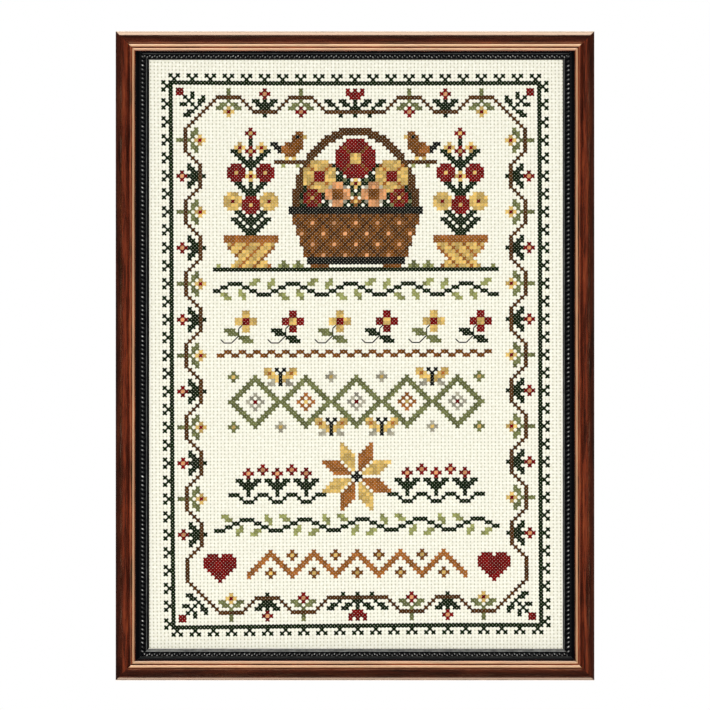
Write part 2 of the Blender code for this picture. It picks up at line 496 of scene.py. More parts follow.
def hang(mesh, side, shift=(0.0, 0.0, 0.0)):
    """Turn a length about the picture's middle to its side of the frame."""
    turn = Matrix.Rotation(math.radians(90) * SIDES.index(side), 4, "Y")
    place = Matrix.Translation(CENTRE + Vector(shift)) @ turn
    bmesh.ops.transform(mesh, matrix=place, verts=mesh.verts)


print(f"mitres left open by {MITRE_GAP * 1000:.2f} mm")

# %% Make the four lengths of moulding
LIP_RUB = 0.0083
LIP_REACH = 0.0011
REED_HIGHLIGHT_REACH = 0.0009
REED_CREST = SCOOP_END + REED_RADIUS
SHADED_HOLLOWS = ((0.0025, 0.0014), (0.0062, 0.0008), (0.0077, 0.0002), (0.0097, 0.0004))
HOLLOW_SHADE = 0.85
SHOULDER_SHADE = 0.8
LEVEL_SCOOP_SHADE = 0.72


def bump_at(value, middle, reach):
    """One at the middle, falling to nothing a reach away."""
    return max(0.0, 1.0 - abs(value - middle) / reach)


def painted_shade_on_wood(across, forward, level):
    """Painted shade: darker on the shoulder, down the scoop of the level lengths and in the hollows by the
    reeds.
    """
    if forward < REBATE_DEPTH + JUST_PAST:
        return 0.0
    if across < SHOULDER_CREST:
        broad = SHOULDER_SHADE
    else:
        down_scoop = (across - SHOULDER_CREST) / (SCOOP_END - SHOULDER_CREST)
        broad = LEVEL_SCOOP_SHADE * (1.35 - 0.75 * down_scoop) * (level and down_scoop < 1.02)
    hollows = SHADED_HOLLOWS[2:] if level else SHADED_HOLLOWS
    in_hollows = HOLLOW_SHADE * max(bump_at(across, middle, reach) for middle, reach in hollows)
    return max(broad, in_hollows)


def rub_and_painted_highlight(across, forward, level):
    """Pale gold: stain rubbed thin along the lip, brighter on the level lengths, and a painted highlight
    along their reed.
    """
    if forward < GROOVE_HEIGHT + JUST_PAST:
        return 0.0
    on_lip = (1.15 if level else 1.1) * bump_at(across, LIP_RUB, LIP_REACH)
    # Painted highlight: the reed is pale only on the level lengths, where the light catches it.
    painted_reed_highlight = (1.1 if level else 0.0) * bump_at(across, REED_CREST, REED_HIGHLIGHT_REACH)
    return min(1.0, max(on_lip, painted_reed_highlight))


for number, side in enumerate(SIDES):
    level = side in ("top", "bottom")
    length, reach = (FRAME_WIDTH, FRAME_HEIGHT / 2) if level else (FRAME_HEIGHT, FRAME_WIDTH / 2)
    rail = mitred_length(moulding_section, length, reach)
    # The pale gold is rubbed stain on the lip and painted highlight on the level lengths.
    mark(rail, "rubbed_and_highlight", lambda across, forward: rub_and_painted_highlight(across, forward, level))
    # Painted shade where the light does not reach: shoulders, level scoops and hollows.
    mark(rail, "painted_shade", lambda across, forward: painted_shade_on_wood(across, forward, level))
    mark(rail, "satin", lambda across, forward: level and across < SHOULDER_CREST + JUST_PAST / 2)
    mark(rail, "raw", lambda across, forward: forward < RAW_EDGE / 2)
    carry_grain(rail, 0.9 * number)
    hang(rail, side)
    piece = finish_piece(f"moulding_{side}", rail, stained_wood, [f"frame_{side}"])
    print(piece.name, len(piece.data.polygons), "faces")

# %% [markdown]
# ## The black slip
# Inside the moulding lies a slip, a thin inner moulding. It is black, with a cove, a fine fillet,
# a rope of slanting beads and a second fillet by the sight edge, all rubbed with silver; the extra
# silver on the level fillets is a painted highlight, and the pale bottom bevel is painted light. The
# straight ridges belong to the section. The rope gets its own beads later, so here the
# section has only a low black ridge for them to sit on.

# %% Draw the slip's section
slip_low, slip_high = (Vector(corner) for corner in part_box("slip_top"))
SLIP_OUTER_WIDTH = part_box("slip_right")[1][0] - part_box("slip_left")[0][0]
SLIP_OUTER_HEIGHT = slip_high.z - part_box("slip_bottom")[0][2]
SLIP_WIDTH = slip_high.z - slip_low.z
SLIP_BACK = -slip_high.y
SLIP_SHIFT = (
    (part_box("slip_right")[1][0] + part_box("slip_left")[0][0]) / 2 - CENTRE.x,
    -SLIP_BACK,
    (slip_high.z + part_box("slip_bottom")[0][2]) / 2 - CENTRE.z,
)
SEAT_HEIGHT = 0.0047
COVE_START = 0.0040
COVE_END = 0.0053
COVE_HOLLOW = 0.0002
LAND_HEIGHT = 0.0039
FILLET_CENTRE = 0.0057
ROPE_CENTRE = 0.0071
ROPE_BED = 0.00055
FILLET_RADIUS = 0.00025
BEVEL_FOOT = 0.0026
UNDERCUT = 0.0003

ROPE_SHIFT = {"top": 0.0011, "right": 0.0001, "bottom": -0.0003, "left": -0.0003}
FILLET_SHARE = 0.8
EDGE_CENTRE = {"top": 0.0, "right": 0.0090, "bottom": 0.0083, "left": 0.0086}
EDGE_TRIM = {"top": 0.00015, "right": 0.00006, "bottom": 0.00028, "left": -0.00015}


def slip_section(side):
    """The slip's section on one side: along the top the rope runs so near the edge that it has no fillet."""
    inward = ROPE_SHIFT[side]
    edge_fillet = arc(EDGE_CENTRE[side], LAND_HEIGHT, FILLET_RADIUS, 180, 0, 8) if EDGE_CENTRE[side] else []
    edge = SLIP_WIDTH - EDGE_TRIM[side]
    bevel_start = EDGE_CENTRE[side] + 0.0003 if edge_fillet else edge - 0.0003
    return [
        (0.0, 0.0),
        (0.0, SEAT_HEIGHT),
        *hollow((COVE_START, SEAT_HEIGHT), (COVE_END, LAND_HEIGHT), COVE_HOLLOW, 8),
        *arc(FILLET_CENTRE + FILLET_SHARE * inward, LAND_HEIGHT, FILLET_RADIUS, 180, 0, 8),
        *arc(ROPE_CENTRE + inward, LAND_HEIGHT, ROPE_BED, 180, 0, 8),
        *edge_fillet,
        (bevel_start, LAND_HEIGHT),
        (edge, BEVEL_FOOT),
        (edge - UNDERCUT, 0.0),
    ]


print(f"slip {SLIP_OUTER_WIDTH * 1000:.1f} x {SLIP_OUTER_HEIGHT * 1000:.1f} mm outside")

# %% Make the black lacquer
black_lacquer, lacquer_shader = start_finish("black_lacquer", 0.38)
lacquer_shader.inputs["Specular IOR Level"].default_value = 0.06
wear = noise(black_lacquer, object_place(black_lacquer), 420.0, 4.0)
# The silver is rubbed silver on the fillets, with painted highlight on the level lengths and painted light
# on the bottom's bevel.
silver_and_highlight = maths(black_lacquer, "MULTIPLY", stored(black_lacquer, "rubbed_and_highlight"), wear)
lacquer = colour_mix(black_lacquer, silver_and_highlight, linear(7, 8, 11), linear(170, 172, 170))
feed(lacquer_shader, "Base Color", lacquer)
raise_surface(black_lacquer, lacquer_shader, wear, 0.08, 0.0002)
print("black lacquer made")

# %% Make the four lengths of slip


def slip_rub_and_highlight(across, forward, side):
    """Silver rub on the two fine fillets, brightest by the sight edge; brighter level fillets are a painted
    highlight and the bottom's bevel is painted light.
    """
    raised = forward > LAND_HEIGHT + JUST_PAST
    on_fillet = raised and abs(across - FILLET_CENTRE - FILLET_SHARE * ROPE_SHIFT[side]) < FILLET_RADIUS
    on_edge = raised and abs(across - EDGE_CENTRE[side]) < FILLET_RADIUS
    painted_light_bevel = across > EDGE_CENTRE[side] - FILLET_RADIUS and forward > BEVEL_FOOT - JUST_PAST
    # Painted light on the bottom's bevel, which faces the light above; painted highlight makes the level
    # fillets brighter.
    if side == "bottom" and painted_light_bevel:
        return 1.0
    return (0.25 if side in ("top", "bottom") else 0.05) * on_fillet + 0.42 * on_edge


for side in SIDES:
    level = side in ("top", "bottom")
    span = (SLIP_OUTER_WIDTH, SLIP_OUTER_HEIGHT / 2) if level else (SLIP_OUTER_HEIGHT, SLIP_OUTER_WIDTH / 2)
    strip = mitred_length(slip_section(side), *span)
    mark(strip, "rubbed_and_highlight", lambda across, forward: slip_rub_and_highlight(across, forward, side))
    hang(strip, side, SLIP_SHIFT)
    piece = finish_piece(f"beaded_slip_{side}", strip, black_lacquer, [f"slip_{side}"])
    print(piece.name, len(piece.data.polygons), "faces")

# %% [markdown]
# ## One shape, thousands of times
# Beads and stitches are each one small shape set down many times. Geometry Nodes does that in a
# moment: a bare point marks each place and carries a turn, a size and a tone, an Instance on
# Points node sets the shape down on every point, and Realize Instances makes them one ordinary
# mesh. A Set Position node then moves each vertex by a hair, so that no two are quite alike.

# %% Helper that sets a shape down many times


def setting_nodes(shape, unevenness):
    """A node group that sets a shape down on points, each with its own turn and size."""
    group = bpy.data.node_groups.new("set_down_many", "GeometryNodeTree")
    group.interface.new_socket("Geometry", in_out="INPUT", socket_type="NodeSocketGeometry")
    group.interface.new_socket("Geometry", in_out="OUTPUT", socket_type="NodeSocketGeometry")
    nodes, links = group.nodes, group.links
    given, result = nodes.new("NodeGroupInput"), nodes.new("NodeGroupOutput")
    source = nodes.new("GeometryNodeObjectInfo")
    source.inputs["Object"].default_value = shape
    setting = nodes.new("GeometryNodeInstanceOnPoints")
    for name, socket in (("turn", "Rotation"), ("size", "Scale")):
        stored = nodes.new("GeometryNodeInputNamedAttribute")
        stored.data_type = "FLOAT_VECTOR"
        stored.inputs["Name"].default_value = name
        links.new(stored.outputs["Attribute"], setting.inputs[socket])
    joined = nodes.new("GeometryNodeRealizeInstances")
    hair = nodes.new("FunctionNodeRandomValue")
    hair.data_type = "FLOAT_VECTOR"
    hair.inputs["Min"].default_value = (-unevenness,) * 3
    hair.inputs["Max"].default_value = (unevenness,) * 3
    nudged = nodes.new("GeometryNodeSetPosition")
    links.new(given.outputs[0], setting.inputs["Points"])
    links.new(source.outputs["Geometry"], setting.inputs["Instance"])
    links.new(setting.outputs["Instances"], joined.inputs["Geometry"])
    links.new(joined.outputs["Geometry"], nudged.inputs["Geometry"])
    links.new(hair.outputs["Value"], nudged.inputs["Offset"])
    links.new(nudged.outputs["Geometry"], result.inputs[0])
    return group


def set_down(name, shape_mesh, spots, material, unevenness):
    """Make one piece from a small shape and a list of spots: place, turn, size and tone."""
    shape_data = bpy.data.meshes.new("small_shape")
    shape_mesh.to_mesh(shape_data)
    shape_data.shade_smooth()
    points = bmesh.new()
    turn = points.verts.layers.float_vector.new("turn")
    size = points.verts.layers.float_vector.new("size")
    tone = points.verts.layers.float.new("tone")
    for spot_place, spot_turn, spot_size, spot_tone in spots:
        point = points.verts.new(spot_place)
        point[turn], point[size], point[tone] = spot_turn, spot_size, spot_tone
    point_data = bpy.data.meshes.new("points")
    points.to_mesh(point_data)
    points.free()
    shape = bpy.data.objects.new("small_shape", shape_data)
    holder = bpy.data.objects.new("points", point_data)
    for made in (shape, holder):
        bpy.context.collection.objects.link(made)
    holder.modifiers.new("set_down", "NODES").node_group = setting_nodes(shape, unevenness)
    graph = bpy.context.evaluated_depsgraph_get()
    data = bpy.data.meshes.new_from_object(
        holder.evaluated_get(graph), preserve_all_data_layers=True, depsgraph=graph
    )
    for made in (shape, holder):
        bpy.data.objects.remove(made, do_unlink=True)
    data.name = name
    data.materials.clear()
    return put_in_place(name, data, material)


print("scatter helper ready")

# %% [markdown]
# ## The rope of beads
# A rope moulding looks like a twisted cord: a row of fat ovals that all lean the same way. Each
# oval is a low sphere drawn out along the slant. They run from mitre to mitre, in a whole number to
# each side, and the two sides mirror each other. Along the top and bottom the rope shows finer, as
# a zigzag of short beads. The silver is left only on the crest of each bead, where it is partly
# rubbed silver and partly a painted glint, and the beads along the top and bottom get a brighter
# tone as a painted highlight.

# %% Make the beads
BEAD_PITCH = {"top": 0.00124, "right": 0.0023, "bottom": 0.00126, "left": 0.0022}
BEAD_LONG = 0.00112
BEAD_WIDE = 0.00060
BEAD_TALL = 0.00062
BEAD_LEAN = 34.0
BEAD_SINK = 0.00030
BEAD_SLIM = 0.66
BEAD_SHORT = 0.60
BEAD_ZIGZAG = 0.00030
BEAD_TAPER = 0.35
LEVEL_PAINTED_HIGHLIGHT = 0.55

bead_shape = bmesh.new()
bmesh.ops.create_uvsphere(bead_shape, u_segments=8, v_segments=6, radius=1.0)
for v in bead_shape.verts:
    v.co.y *= 1.0 + BEAD_TAPER * v.co.z
bmesh.ops.scale(bead_shape, verts=bead_shape.verts, vec=(BEAD_WIDE, BEAD_TALL, BEAD_LONG))

rope_front = SLIP_BACK + LAND_HEIGHT + BEAD_SINK
bead_spots = []
chance = random.Random(14)
for side_number, side in enumerate(SIDES):
    level = side in ("top", "bottom")
    half_run = (SLIP_OUTER_WIDTH if level else SLIP_OUTER_HEIGHT) / 2 - ROPE_CENTRE
    half_reach = (SLIP_OUTER_HEIGHT if level else SLIP_OUTER_WIDTH) / 2 - ROPE_CENTRE - ROPE_SHIFT[side]
    count = round(2 * half_run / BEAD_PITCH[side])
    about = math.radians(90) * side_number
    for i in range(count):
        along = -half_run + (i + 0.5) * 2 * half_run / count
        aside = BEAD_ZIGZAG * (-1) ** i if level else 0.0
        flat_place = Matrix.Rotation(about, 3, "Y") @ Vector((along, 0.0, half_reach + aside))
        lean = math.radians(BEAD_LEAN if flat_place.x < 0 else -BEAD_LEAN)
        wide = BEAD_SLIM if level else 1.0
        tall = chance.uniform(0.94, 1.06)
        long = (BEAD_SHORT if level else 1.0) * chance.uniform(0.94, 1.06)
        # Painted highlight: beads along the top and bottom get a brighter tone.
        tone = chance.uniform(0.45, 1.0) + LEVEL_PAINTED_HIGHLIGHT * level
        place = CENTRE + Vector((SLIP_SHIFT[0], -rope_front, SLIP_SHIFT[2])) + flat_place
        bead_spots.append((place, (0.0, about + lean, 0.0), (wide, tall, long), tone))

silvered_beads, bead_shader = start_finish("silvered_beads", 0.30, 0.15)
bead_tone = stored(silvered_beads, "tone")
bead_place = object_place(silvered_beads)
bead_wear = noise(silvered_beads, bead_place, 900.0, 3.0)
bead_wear_and_highlight = maths(silvered_beads, "MULTIPLY", bead_tone, bead_wear)
silver = colour_ramp(silvered_beads, bead_wear_and_highlight, [(0.18, linear(84, 88, 88)), (0.55, linear(238, 240, 238))])
bead_y = add_node(silvered_beads, "ShaderNodeSeparateXYZ", Vector=bead_place).outputs["Y"]
crest_height = maths(silvered_beads, "MULTIPLY_ADD", bead_y, -1.0 / BEAD_TALL, -rope_front / BEAD_TALL)
# Painted glint: the silver on the crest is partly rubbed silver and partly stands for the glint of light.
crest_silver_and_glint = colour_ramp(silvered_beads, crest_height, [(0.78, (0.0, 0.0, 0.0)), (0.98, (1.0, 1.0, 1.0))])
feed(bead_shader, "Base Color", colour_mix(silvered_beads, crest_silver_and_glint, linear(4, 5, 6), silver))
raise_surface(silvered_beads, bead_shader, bead_wear, 0.15, 0.0002)
rope = set_down("slip_rope", bead_shape, bead_spots, silvered_beads, 0.00003)
print(len(bead_spots), "beads,", len(rope.data.polygons), "faces")

# %% [markdown]
# ## The backing board
# A sheet of pressed board closes the back. It doesn't show in the photograph, so it is
# finished plainly: a flat board with slightly eased edges and the mottle of pressed fibres.

# %% Make the backing board
EASE = 0.0004

board_low, board_high = (Vector(corner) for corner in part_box("backing_board"))
board = bmesh.new()
bmesh.ops.create_cube(board, size=1.0)
bmesh.ops.scale(board, verts=board.verts, vec=board_high - board_low)
bmesh.ops.translate(board, verts=board.verts, vec=(board_high + board_low) / 2)
bmesh.ops.bevel(
    board, geom=board.edges[:], offset=EASE, segments=2, affect="EDGES", profile=0.5, material=-1
)

pressed_board, board_shader = start_finish("pressed_board", 0.85)
fibre_place = object_place(pressed_board)
mottle = noise(pressed_board, fibre_place, 90.0, 6.0)
fibres = noise(pressed_board, fibre_place, 1400.0, 3.0)
fibre_mix = maths(pressed_board, "MULTIPLY_ADD", mottle, 0.6, maths(pressed_board, "MULTIPLY", fibres, 0.4))
board_tones = [(0.36, linear(112, 82, 54)), (0.62, linear(164, 128, 90))]
feed(board_shader, "Base Color", colour_ramp(pressed_board, fibre_mix, board_tones))
raise_surface(pressed_board, board_shader, fibres, 0.3, 0.0003)
finish_piece("pressed_backing", board, pressed_board, ["backing_board"])
print("backing board made")

# %% [markdown]
# ## The cloth's own grid
# Block cloth is woven in little squares with a hole at each corner, 14 squares to the inch, and
# the stitches go from hole to hole. Everything on the cloth is therefore counted in squares: a
# place is a column and a row, with (0, 0) the top left corner of the stitched border. One
# function turns that into metres. The cloth was stretched by hand, so its lines bow and lean by up
# to a millimetre. The same function adds that, as a pull that grows with powers of the distance from
# the middle of the chart.

# %% Map columns and rows onto the cloth
COLUMNS = 103
ROWS = 153
LAST_COLUMN = COLUMNS - 1
LAST_ROW = ROWS - 1
MIDDLE = LAST_COLUMN // 2
SQUARE_WIDE = 0.0018247
SQUARE_TALL = 0.0018053
CHART_SHIFT = Vector((0.00066, 0.0, 0.00029))
PULLS = {
    (1, 0): (0.00000, 0.00041),
    (0, 1): (-0.00044, 0.00000),
    (1, 1): (0.00011, -0.00040),
    (2, 0): (-0.00014, 0.00001),
    (0, 2): (0.00005, 0.00033),
    (2, 1): (0.00006, 0.00032),
    (1, 2): (-0.00008, 0.00002),
    (0, 3): (-0.00027, -0.00019),
    (3, 0): (0.00002, -0.00019),
}


def on_cloth(column, row, forward=0.0):
    """A place on the cloth's front in metres, from a column and a row that may be fractions."""
    right, high = column * 2 / LAST_COLUMN - 1, 1 - row * 2 / LAST_ROW
    across = right * SQUARE_WIDE * LAST_COLUMN / 2
    up = high * SQUARE_TALL * LAST_ROW / 2
    for (power_right, power_high), (pull_across, pull_up) in PULLS.items():
        share = right**power_right * high**power_high
        across += share * pull_across
        up += share * pull_up
    return CENTRE + CHART_SHIFT + Vector((across, -CLOTH_FRONT - forward, up))


print(f"border {LAST_COLUMN * SQUARE_WIDE * 1000:.1f} x {LAST_ROW * SQUARE_TALL * 1000:.1f} mm")

# %% [markdown]
# ## The cloth
# The cloth is a thin sheet, stretched flat. Where it shows it has four faces to a square, with the
# corner holes pressed in and the blocks slightly raised, so the relief is real. Its margins lie
# under the slip and stay plain. The sheet starts as a grid, gets its margin and its
# thickness by extruding its rim, and is closed at the back. Each vertex keeps its column and row in
# an attribute, which the weave reads.

# %% Make the sheet
FIRST_SQUARE = -8.5
SQUARES_ACROSS = 119
SQUARES_DOWN = 169
HOLE_DEPTH = 0.00034
SEAM_DEPTH = 0.00006
BLOCK_RISE = 0.00005
MARGIN = 2.4
CLOTH_BACK = CLOTH_FRONT - node_size("sampler_cloth").y

sheet = bmesh.new()
square_at = sheet.verts.layers.float_vector.new("square_at")
bmesh.ops.create_grid(sheet, x_segments=2 * SQUARES_ACROSS, y_segments=2 * SQUARES_DOWN, size=0.5)
for v in sheet.verts:
    half_columns = round((v.co.x + 0.5) * 2 * SQUARES_ACROSS)
    half_rows = round((0.5 - v.co.y) * 2 * SQUARES_DOWN)
    column = FIRST_SQUARE + half_columns / 2
    row = FIRST_SQUARE + half_rows / 2
    at_corners = (half_columns % 2 == 0) + (half_rows % 2 == 0)
    relief = (BLOCK_RISE, -SEAM_DEPTH, -HOLE_DEPTH)[at_corners]
    v.co = on_cloth(column, row, relief)
    v[square_at] = (column, row, 0.0)

margin = moved_verts(bmesh.ops.extrude_edge_only(sheet, edges=open_rim(sheet)))
last_column = FIRST_SQUARE + SQUARES_ACROSS
last_row = FIRST_SQUARE + SQUARES_DOWN
for v in margin:
    column, row, _ = v[square_at]
    column += MARGIN * ((column == last_column) - (column == FIRST_SQUARE))
    row += MARGIN * ((row == last_row) - (row == FIRST_SQUARE))
    v.co = on_cloth(column, row)
    v[square_at] = (column, row, 0.0)
back = moved_verts(bmesh.ops.extrude_edge_only(sheet, edges=open_rim(sheet)))
bmesh.ops.translate(sheet, verts=back, vec=(0.0, CLOTH_FRONT - CLOTH_BACK, 0.0))
close_up(sheet)
print("cloth:", len(sheet.faces), "faces")

# %% [markdown]
# ## The weave
# Close up, each square of the cloth is four threads by four, over and under, and between squares
# there is a narrow gap that opens into a hole at the corners. Sine waves of the column and row
# give the threads, with painted shade where they dip. The distance to the nearest corner gives the
# holes, painted darker as shade, and the gaps between squares get painted shade too. A broad mottle
# keeps the ivory from looking flat.

# %% Make the woven cloth's finish
THREADS_PER_SQUARE = 4

block_cloth, cloth_shader = start_finish("block_cloth", 0.92)
cloth_shader.inputs["Specular IOR Level"].default_value = 0.15
cloth_shader.inputs["Sheen Weight"].default_value = 0.15
square_place = stored(block_cloth, "square_at", "Vector")
apart = add_node(block_cloth, "ShaderNodeSeparateXYZ", Vector=square_place)
waves = []
from_corner = []
for axis in ("X", "Y"):
    turns = maths(block_cloth, "ADD", apart.outputs[axis], 0.5)
    turns = maths(block_cloth, "MULTIPLY", turns, math.pi * THREADS_PER_SQUARE)
    waves.append(maths(block_cloth, "ABSOLUTE", maths(block_cloth, "SINE", turns)))
    part = maths(block_cloth, "FRACT", maths(block_cloth, "ADD", apart.outputs[axis], 1000.0))
    from_corner.append(maths(block_cloth, "SUBTRACT", part, 0.5))
threads = maths(block_cloth, "MULTIPLY", *waves)
corner_x, corner_y = (maths(block_cloth, "MULTIPLY", part, part) for part in from_corner)
corner_distance = maths(block_cloth, "SQRT", maths(block_cloth, "MULTIPLY_ADD", corner_y, 0.5, corner_x))
near_seam = maths(block_cloth, "MINIMUM", *(maths(block_cloth, "ABSOLUTE", part) for part in from_corner))
mottling = noise(block_cloth, square_place, 1.3, 3.0)
# Painted shade: the holes are darkened, as if one saw into them.
hole_shade_tones = [(0.05, linear(180, 179, 166)), (0.15, linear(230, 229, 217)), (0.25, linear(254, 253, 245))]
cloth_colour = colour_ramp(block_cloth, corner_distance, hole_shade_tones)
# Painted shade along the seams and thread dips; the mottle is the cloth's own uneven tone.
for share, factor, darkest, start, end in (
    (1.0, near_seam, (246, 245, 238), 0.0, 0.10),
    (0.7, threads, (242, 241, 233), 0.0, 0.55),
    (1.0, mottling, (244, 243, 238), 0.35, 0.62),
):
    tone = colour_ramp(block_cloth, factor, [(start, linear(*darkest)), (end, (1.0, 1.0, 1.0))])
    cloth_colour = colour_mix(block_cloth, share, cloth_colour, tone, "MULTIPLY")
feed(cloth_shader, "Base Color", cloth_colour)
hole_height = maths(block_cloth, "MINIMUM", maths(block_cloth, "MULTIPLY", corner_distance, 4.0), 1.0)
raise_surface(
    block_cloth, cloth_shader, maths(block_cloth, "MULTIPLY_ADD", threads, 0.35, hole_height), 0.6, 0.0003
)

cloth = finish_piece("block_cloth_sheet", sheet, block_cloth, ["sampler_cloth"], crisp=60.0)
print("woven finish:", len(block_cloth.node_tree.nodes), "nodes")

# %% [markdown]
# ## The chart
# A sampler is worked from a chart, one cross to a square. Here the chart is a dictionary from
# (column, row) to the name of a thread. Small motifs are charted as a few rows of symbols,
# and what follows a rule, such as a border, is a loop. A later motif covers an earlier one.

# %% Start the chart
chart = {}


def work(thread, squares):
    """Put one cross of this thread in each square."""
    for square in squares:
        chart[square] = thread


def mirrored(squares):
    """The squares with their mirror image, left to right."""
    return {(c, r) for c, r in squares} | {(LAST_COLUMN - c, r) for c, r in squares}


def all_four(squares):
    """The squares mirrored left to right and top to bottom."""
    both = mirrored(squares)
    return both | {(c, LAST_ROW - r) for c, r in both}


def transposed(squares):
    """The squares with columns and rows exchanged, for the upright sides."""
    return {(r, c) for c, r in squares}


THREAD_SYMBOLS = {
    "g": "leaf_green",
    "l": "light_green",
    "s": "sage",
    "b": "vine_brown",
    "r": "rust",
    "a": "amber",
    "k": "charcoal",
    "h": "red",
    "y": "gold",
    "e": "grey",
    "c": "cream",
}


def work_rows(rows, left, top, flipped=False):
    """Work a motif from rows of symbols, a dot being bare cloth, with its top left at a square."""
    for down, line in enumerate(rows):
        for along, symbol in enumerate(line[::-1] if flipped else line):
            if symbol != ".":
                chart[(left + along, top + down)] = THREAD_SYMBOLS[symbol]


def both_ways(squares):
    """The squares with their mirror image about column 0."""
    return squares | {(-c, r) for c, r in squares}


def moved(squares, columns, rows=0):
    """The squares shifted by whole columns and rows."""
    return {(c + columns, r + rows) for c, r in squares}


def block(column, row, wide=2, tall=2):
    """A solid block of squares from its top left."""
    return {(column + i, row + j) for i in range(wide) for j in range(tall)}


def posy(column, row):
    """A four-petalled posy: the four petal squares round a square."""
    return {(column - 1, row), (column + 1, row), (column, row - 1), (column, row + 1)}


print("chart of", COLUMNS, "by", ROWS, "squares")

# %% [markdown]
# ## The border
# The border has three parts. A dark green line runs round the chart, with a sprig of three crosses
# outside it every fifth square. Inside it a brown vine swings between a lane four squares
# from the line and one eight squares from it. On each swing sits a posy or a V of leaves, and
# a tulip at the middle of the top and bottom. It is a common pattern with a repeat of twenty.

# %% Work the line and its sprigs
SPRIG_STEP = 5

border_line = {(c, 0) for c in range(COLUMNS)} | {(0, r) for r in range(ROWS)}
work("border_green", all_four(border_line))
for c in range(1, COLUMNS, SPRIG_STEP):
    work("border_green", all_four({(c, -1), (c - 1, -2), (c + 1, -2)}))
for r in range(1, ROWS, SPRIG_STEP):
    work("border_green", all_four({(-1, r), (-2, r - 1), (-2, r + 1)}))
print(len(chart), "crosses so far")

# %% Work the vine
OUTER_LANE = 4
INNER_LANE = 8
VINE_REPEAT = 20
FIRST_SWING = 16
VINE_START = 13
LONG_RUN_START = 43


def vine_lane(place):
    """How far from the line the vine runs, at a place counted from the nearer corner."""
    step = (place - FIRST_SWING + 3) % VINE_REPEAT
    if step <= 6:
        return OUTER_LANE
    if step <= 9:
        return OUTER_LANE + step - 6
    if step <= 16:
        return INNER_LANE
    return INNER_LANE - (step - 16)


top_vine = {
    (c, INNER_LANE if c >= LONG_RUN_START else vine_lane(c)) for c in range(VINE_START, MIDDLE + 1)
}
side_vine = {(vine_lane(r), r) for r in range(VINE_START, LAST_ROW // 2 + 1)}
corner_vine = {(c, VINE_START + OUTER_LANE - c) for c in range(OUTER_LANE, VINE_START + 1)}
work("vine_brown", all_four(top_vine | side_vine | corner_vine))
print(len(chart), "crosses so far")

# %% Work the leaves and posies along the vine
outer_leaves = both_ways({(0, 2), (0, 3), (0, 5), (1, 6), (2, 6), (2, 7), (3, 7)})
inner_leaves = both_ways({(0, 5), (2, 5), (3, 5), (0, 6), (1, 6), (2, 6), (0, 7), (1, 7), (0, 9)})

for swing in (16, 36):
    petal, eye = ("gold", "red") if swing == 16 else ("red", "cream")
    work("sage", all_four(moved(outer_leaves, swing)))
    work(petal, all_four(posy(swing, 8)))
    work(eye, all_four({(swing, 8)}))
work("leaf_green", all_four(moved(inner_leaves, 26)))
work("red", all_four(posy(26, 3)))
work("cream", all_four({(26, 3)}))

for swing in (16, 36, 56, 76, 96, 116):
    work("sage", mirrored(transposed(moved(outer_leaves, swing))))
    work("gold", mirrored(transposed(posy(swing, 8))))
    work("red", mirrored({(8, swing)}))
for swing in (26, 46, 66, 86, 106, 126):
    work("leaf_green", mirrored(transposed(moved(inner_leaves, swing))))
    work("red", mirrored(transposed(posy(swing, 3))))
    work("cream", mirrored({(3, swing)}))
print(len(chart), "crosses so far")

# %% Work the corners and the tulips at the middle
corner_bud = {(2, 2), (3, 2), (2, 3), (3, 3)}
corner_leaf = {(6, 3), (6, 4), (9, 4), (8, 5), (9, 5), (8, 6)}
corner_stem = {(n, n) for n in range(4, 8)}
work("red", all_four(corner_bud))
work("leaf_green", all_four(corner_stem | corner_leaf | transposed(corner_leaf)))

tulip_leaf = {(43, 5), (44, 5), (44, 6), (45, 6), (46, 7), (47, 5), (48, 5), (48, 6), (49, 6), (50, 7)}
work("leaf_green", all_four(tulip_leaf | {(51, 5), (51, 6), (51, 7), (47, 9), (51, 9)}))
work("red", all_four({(49, 2), (51, 2), (49, 3), (50, 3), (51, 3), (50, 4), (51, 4)}))
print(len(chart), "crosses in the border")

# %% [markdown]
# ## The bands
# Inside the border the sampler is built of level bands, as samplers usually are: two trailing
# stems with pale leaves, a row of four-petalled flowers, a rust zigzag, and two beds of tulips
# over a wavy line. All are traditional and all repeat, so a loop works each of them.

# %% Work the two trailing stems
STEM_REPEAT = 16
stem_rise = [56] * 4 + [57] * 2 + [58] * 2 + [59] * 4 + [58] * 2 + [57] * 2
stem_leaf = {
    (-2, 59), (-1, 59), (-1, 60), (0, 60),
    (3, 58), (3, 59), (4, 59), (4, 60),
    (7, 55), (8, 55), (6, 56), (7, 56),
    (12, 55), (11, 56), (12, 56), (11, 57),
}
trail = {(c, stem_rise[(c - 16) % STEM_REPEAT]) for c in range(12, 91)}
trail_leaves = set()
for start in range(16, 91, STEM_REPEAT):
    trail_leaves |= {(c, r) for c, r in moved(stem_leaf, start) if c < 91}
LOWER_TRAIL = 66
for thread, squares in (("leaf_green", trail), ("light_green", trail_leaves)):
    work(thread, squares)
    work(thread, {(LAST_COLUMN - c, r + LOWER_TRAIL) for c, r in squares})
print("two trails of", len(trail), "crosses")

# %% Work the row of flowers and the zigzag
FLOWER_STEP = 13
FLOWERS = 6


flower_leaf = {(15, 69), (16, 69), (17, 69), (16, 70), (17, 70), (18, 70)}
flower_leaf |= {(19, 71), (20, 71), (21, 71), (20, 72), (21, 72), (22, 72)}
for n in range(FLOWERS):
    petal, eye, leaf = ("gold", "red", "sage") if n % 2 == 0 else ("red", "gold", "leaf_green")
    shift = FLOWER_STEP * n
    petals = block(20, 64) | block(18, 66) | block(22, 66) | block(20, 68)
    work(petal, moved(petals, shift))
    work(eye, moved(block(20, 66), shift))
    work(leaf, moved(flower_leaf, shift))
work("rust", {(c, 76 if (c - 13) % 4 < 2 else 75) for c in range(13, 89)})
print(FLOWERS, "flowers and a zigzag")

